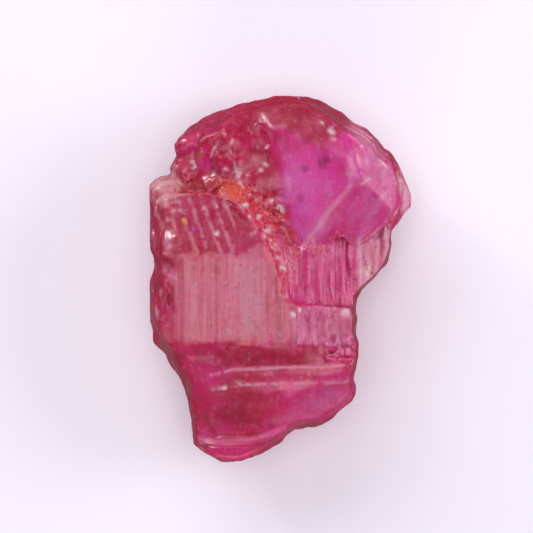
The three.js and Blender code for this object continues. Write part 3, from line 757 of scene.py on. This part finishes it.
# Each stain is its paint, its middle (x, y), its half width and length in mm, its turn in degrees
# and its strength. All of them lie at one level, and reach equally far down.
STAIN_LEVEL = 6
STAIN_DEPTH = 3.5
STAINS = {
    "bright core of the lobe": (srgb(255, 110, 210), (1.2, 4.6), (1.1, 2.4), 6, 0.85),
    "purple side of the lobe": (srgb(235, 95, 175), (3.7, 3.2), (1.8, 1.1), 35, 0.6),
    "crimson top of the lobe": (srgb(190, 0, 65), (0.7, 8.4), (3.2, 1.9), -15, 1.0),
    "crimson foot of the lobe": (srgb(225, 20, 120), (3.0, 2.3), (1.0, 0.5), 20, 0.6),
    "crimson beside the lobe": (srgb(205, 0, 80), (-0.7, 5.1), (0.6, 0.7), 0, 0.8),
    "pink streaks in the lobe": (srgb(255, 150, 215), (3.45, 5.6), (0.3, 1.0), -6, 0.8),
    "crimson tongue below the lobe": (srgb(225, 25, 120), (1.8, 1.5), (0.7, 0.28), 20, 0.8),
    "dark smudge in the lobe": (SMUDGE, (2.1, 5.75), (0.36, 0.27), 40, 0.6),
    "smaller smudge": (SMUDGE, (1.25, 5.45), (0.2, 0.2), 0, 0.5),
    "smudge near the seam": (SMUDGE, (1.05, 4.0), (0.18, 0.22), 0, 0.45),
    "smudge by the tip flake": (DARK_RED, (4.7, 4.1), (0.22, 0.16), 0, 0.5),
    # painted reflection: the lobe's bevel is pale lilac where it mirrors the light
    "lilac bevel of the lobe": (PALE_LILAC, (4.2, 7.0), (0.5, 1.2), 42, 0.75),
    "purple corner of the lobe": (srgb(225, 85, 160), (4.7, 5.1), (0.7, 0.9), 0, 0.7),
    "red edge of the tip flake": (srgb(240, 60, 60), (5.85, 5.0), (0.1, 0.7), 0, 0.8),
    # painted light: the thin tip flake is pale where light shines through it
    "tip flake": (srgb(255, 195, 226), (6.2, 4.2), (0.4, 1.3), 0, 0.95),
    "magenta heart of the tip flake": (HOT_PINK, (5.9, 3.9), (0.22, 0.5), 0, 1.0),
    "pale patch above the ribs": (srgb(245, 150, 205), (2.75, 1.3), (0.25, 0.4), 0, 0.8),
    # painted light: the flake's pale heart, where light shines through it
    "bright heart of the right flake": (srgb(255, 180, 190), (4.35, 0.5), (0.3, 0.42), -30, 0.9),
    "red left end of the seam": (srgb(195, 20, 55), (-4.0, 4.6), (1.3, 0.35), -3, 0.9),
    "pink foot of the seam": (srgb(250, 130, 180), (0.2, 1.3), (0.5, 1.2), 8, 0.65),
    "orange spot on the seam": (ORANGE, (-2.45, 4.4), (0.6, 0.4), -20, 1.0),
    "olive spot": (srgb(190, 140, 60), (-3.95, 6.15), (0.22, 0.18), 0, 0.6),
    "bright lump at the left": (srgb(255, 40, 150), (-4.5, 6.7), (0.5, 0.45), 0, 0.8),
    "bright face beside it": (HOT_PINK, (-3.6, 5.7), (0.5, 0.3), -20, 0.7),
    "clear lump": (srgb(245, 190, 200), (-5.25, 5.65), (0.14, 0.2), 0, 0.8),
    # painted light: the thin bump is pale where light shines through it, and its bright side is a painted
    # highlight
    "pale bump": (srgb(255, 190, 195), (-5.75, 4.6), (0.9, 0.85), -20, 1.0),
    "bright side of the bump": (srgb(255, 205, 208), (-5.95, 4.75), (0.28, 0.4), -20, 0.6),
    "yellow dot on the rim": (srgb(240, 170, 60), (-4.7, 2.85), (0.13, 0.15), 0, 0.9),
    "violet dot on the rim": (srgb(220, 80, 240), (-4.3, 2.5), (0.13, 0.13), 0, 0.9),
    "yellowish spot below them": (srgb(235, 165, 110), (-4.1, 1.35), (0.22, 0.2), 0, 0.6),
    "grey side of the satin face": (srgb(210, 150, 180), (-1.5, -0.6), (0.7, 2.4), 0, 0.4),
    "pale spot on the satin face": (srgb(225, 190, 225), (-2.5, -2.55), (0.22, 0.18), 0, 0.5),
    "orange speck under the satin face": (srgb(255, 100, 40), (-1.7, -3.1), (0.2, 0.17), 0, 0.9),
    "lilac spots of the left margin": (GREY_LILAC, (-5.5, 1.75), (0.2, 0.4), 10, 0.6),
    "lilac streak of the left margin": (GREY_LILAC, (-5.3, 0.15), (0.5, 0.1), -25, 0.6),
    "dark blob of the left margin": (DARK_RED, (-5.6, 0.9), (0.35, 0.3), 0, 0.8),
    "dark blob below it": (DARK_RED, (-6.1, -0.35), (0.35, 0.35), 0, 0.8),
    "lilac right of the tip face": (srgb(230, 100, 180), (2.4, -5.9), (1.6, 0.8), 20, 0.7),
    "crimson band under the satin face": (srgb(185, 15, 70), (-1.0, -3.8), (4.0, 0.7), 0, 0.8),
    "crimson left half of the tip face": (srgb(180, 10, 65), (-2.4, -6.0), (2.0, 1.4), 0, 0.6),
    "dark middle of the tip face": (DARK_RED, (-2.1, -6.9), (1.3, 0.7), 0, 0.6),
    "crimson edge left of the tip face": (DARK_RED, (-4.7, -5.6), (0.4, 2.2), 14, 0.6),
    "bright foot of the tip": (srgb(255, 50, 150), (-2.2, -8.6), (2.2, 0.55), 0, 0.9),
}
for name, (paint, middle, reach, turn, strength) in STAINS.items():
    patch = nodes.new("ShaderNodeGroup")
    patch.node_tree = stain
    patch.label = name
    patch.inputs["Stain"].default_value = paint
    patch.inputs["Middle"].default_value = (*middle, STAIN_LEVEL)
    patch.inputs["Reach"].default_value = (*reach, STAIN_DEPTH)
    patch.inputs["Turn"].default_value = math.radians(turn)
    patch.inputs["Strength"].default_value = strength
    links.new(colour, patch.inputs["Colour"])
    links.new(in_mm.outputs["Vector"], patch.inputs["Place"])
    links.new(fray, patch.inputs["Fray"])
    colour = patch.outputs["Colour"]

# Last come the fine marks: speckles, of which the lobe has fewer and the sides none, then painted
# highlights along the crease, the ledges and the fine lines, the ridge at the tip, painted highlights
# on the crests, painted shade in the hollows, and painted glints.
above = joined("SUBTRACT", 1.0, mask("sides"))
uneven = joined("SUBTRACT", above, times(mask("lobe"), 0.6))
colour = tint(colour, DARK_RED, times(uneven, ranged(cloud(0.22, 5), 0.52, 0.68, 0.0, 0.35)))
colour = tint(colour, PALE, times(above, ranged(cloud(0.2, 5, (1, 1.6, 1)), 0.55, 0.75, 0.0, 0.22)))
# Painted highlight along the crease.
colour = tint(colour, PALE, times(mask("crease"), 0.45))
# Painted highlights along the ledges' bevelled edges.
colour = tint(colour, PALE_LILAC, times(mask("ledges"), 0.6))
# Painted highlights: the fine pale lines.
colour = tint(colour, PALE, times(mask("fine_lines"), 0.75))
colour = tint(colour, srgb(255, 120, 185), times(mask("tip_ridge"), 0.65))
# Painted highlights on the crests.
colour = tint(colour, PALE, times(mask("crests"), 0.35))
# Painted shade in the hollows.
colour = tint(colour, DARK_RED, times(mask("hollows"), 0.5))
# Painted glints.
colour = tint(colour, srgb(255, 240, 245), times(mask("glints"), 0.9))
links.new(colour, surface.inputs["Base Color"])

# Broken crystal is glassy. The satin face is duller, and the sides are a little glossier.
dullness = joined("ADD", ranged(cloud(0.5, 3), 0.3, 0.7, 0.16, 0.3), times(mask("satin"), 0.2))
dullness = joined("SUBTRACT", dullness, times(mask("sides"), 0.09))
links.new(dullness, surface.inputs["Roughness"])

# The finest relief is left to the way that the light falls: lines a tenth of a millimetre apart
# along the satin face, and a skin that is nowhere quite smooth.
RELIEF_DEPTH = 0.02 * MM
skin = cloud(0.14, 3)
relief_height = joined("ADD", times(lines, mask("satin")), times(skin, 0.35))
bump = nodes.new("ShaderNodeBump")
bump.inputs["Distance"].default_value = RELIEF_DEPTH
bump.inputs["Strength"].default_value = 0.8
links.new(relief_height, bump.inputs["Height"])
links.new(bump.outputs["Normal"], surface.inputs["Normal"])
stone.data.materials.append(ruby)

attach(stone, "root")
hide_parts("ruby")
